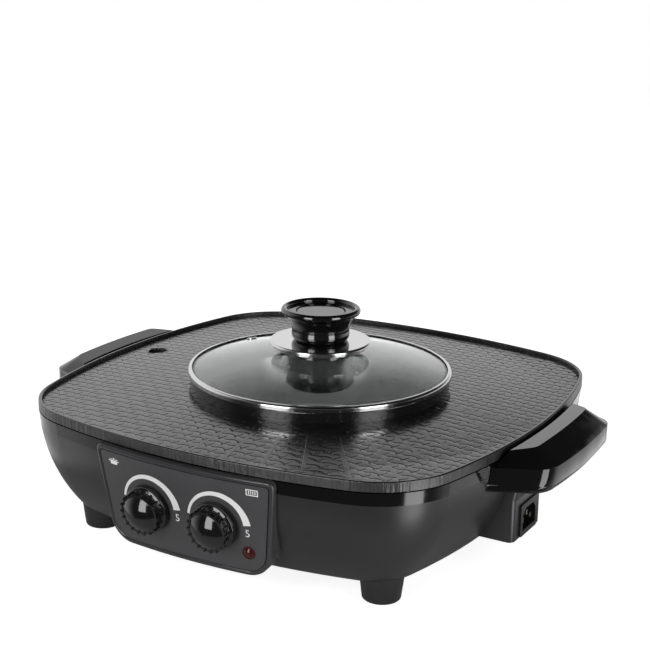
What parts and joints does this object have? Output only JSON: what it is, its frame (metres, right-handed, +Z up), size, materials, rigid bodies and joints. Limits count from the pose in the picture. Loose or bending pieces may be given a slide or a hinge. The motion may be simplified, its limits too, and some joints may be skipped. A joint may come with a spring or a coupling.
{
  "type": "hot pot grill combo",
  "caption": "Electric table-top grill with a round covered pot sunk in its middle, control dials, side handles, grease drawer and power inlet.",
  "frame": {"origin": "centre of the footprint of the whole part, on the table", "axes": "+Z up, +X toward the handle with the power inlet, -Y toward the user and the control panel"},
  "size_m": [0.4508, 0.3958, 0.1685],
  "materials": {
    "housing": "moulded, satin bowl with a glossy band",
    "handle": "glossy",
    "bottom_cover": "satin black on pressed steel",
    "foot": "satin",
    "pad": "matt",
    "pan": "cast, black nonstick coating, embossed plate",
    "lid_glass": "polished, tempered",
    "steel_trim": "polished",
    "knob": "glossy",
    "control_frame": "glossy",
    "control_plate": "satin dark grey with white printing",
    "dial": "glossy",
    "shaft": "turned",
    "lamp_lens": "translucent red",
    "lamp_holder": "satin",
    "sheet_steel": "zinc plated",
    "thermostat": "matt",
    "inlet": "satin",
    "pins": "nickel plated",
    "liner": "bright pressed",
    "heater": "dark sheathed",
    "bush": "matt",
    "drawer": "satin"
  },
  "bodies": {
    "base": {"housing": "housing", "bottom_cover": "bottom_cover", "cover_screws": "sheet_steel", "liner": "liner", "grill_heater": "heater", "pot_heater": "heater", "heater_bushes": "bush", "heater_clips": "sheet_steel", "drawer_guide": "sheet_steel", "control_frame": "control_frame", "control_plate": "control_plate", "thermostat_bracket": "sheet_steel", "pilot_lens": "lamp_lens", "lamp_holder": "lamp_holder", "inlet_socket": "inlet", "inlet_pins": "pins", "handle_screws": "sheet_steel", "pot_thermostat": "thermostat", "grill_thermostat": "thermostat", "right_handle_cover": "handle", "right_handle_base": "handle", "left_handle_cover": "handle", "left_handle_base": "handle", "front_left_foot": "foot", "front_left_pad": "pad", "front_right_foot": "foot", "front_right_pad": "pad", "back_left_foot": "foot", "back_left_pad": "pad", "back_right_foot": "foot", "back_right_pad": "pad"},
    "pan": {"grill_pan": "pan"},
    "lid": {"lid_ring": "steel_trim", "lid_glass": "lid_glass", "vent_grommet": "steel_trim", "lid_seat": "knob", "steam_disc": "steel_trim", "lid_knob": "knob", "knob_cap": "knob", "lid_screw": "sheet_steel"},
    "pot_control": {"pot_shaft": "shaft", "pot_dial": "dial"},
    "grill_control": {"grill_shaft": "shaft", "grill_dial": "dial"},
    "drawer": {"grease_drawer": "drawer"}
  },
  "joints": [
    {"name": "pan_lift", "type": "slide", "parent": "base", "child": "pan", "axis": [0, 0, 1], "range_m": [0, 0.09]},
    {"name": "lid_lift", "type": "slide", "parent": "pan", "child": "lid", "axis": [0, 0, 1], "range_m": [0, 0.08]},
    {"name": "pot_dial_turn", "type": "hinge", "parent": "base", "child": "pot_control", "pos_m": [-0.0285, -0.18146, 0.05849], "axis": [0, 0.9903, 0.1392], "range_deg": [0, 210]},
    {"name": "grill_dial_turn", "type": "hinge", "parent": "base", "child": "grill_control", "pos_m": [0.0285, -0.18146, 0.05849], "axis": [0, 0.9903, 0.1392], "range_deg": [0, 210]},
    {"name": "drawer_slide", "type": "slide", "parent": "base", "child": "drawer", "axis": [-1, 0, 0], "range_m": [0, 0.06]}
  ]
}
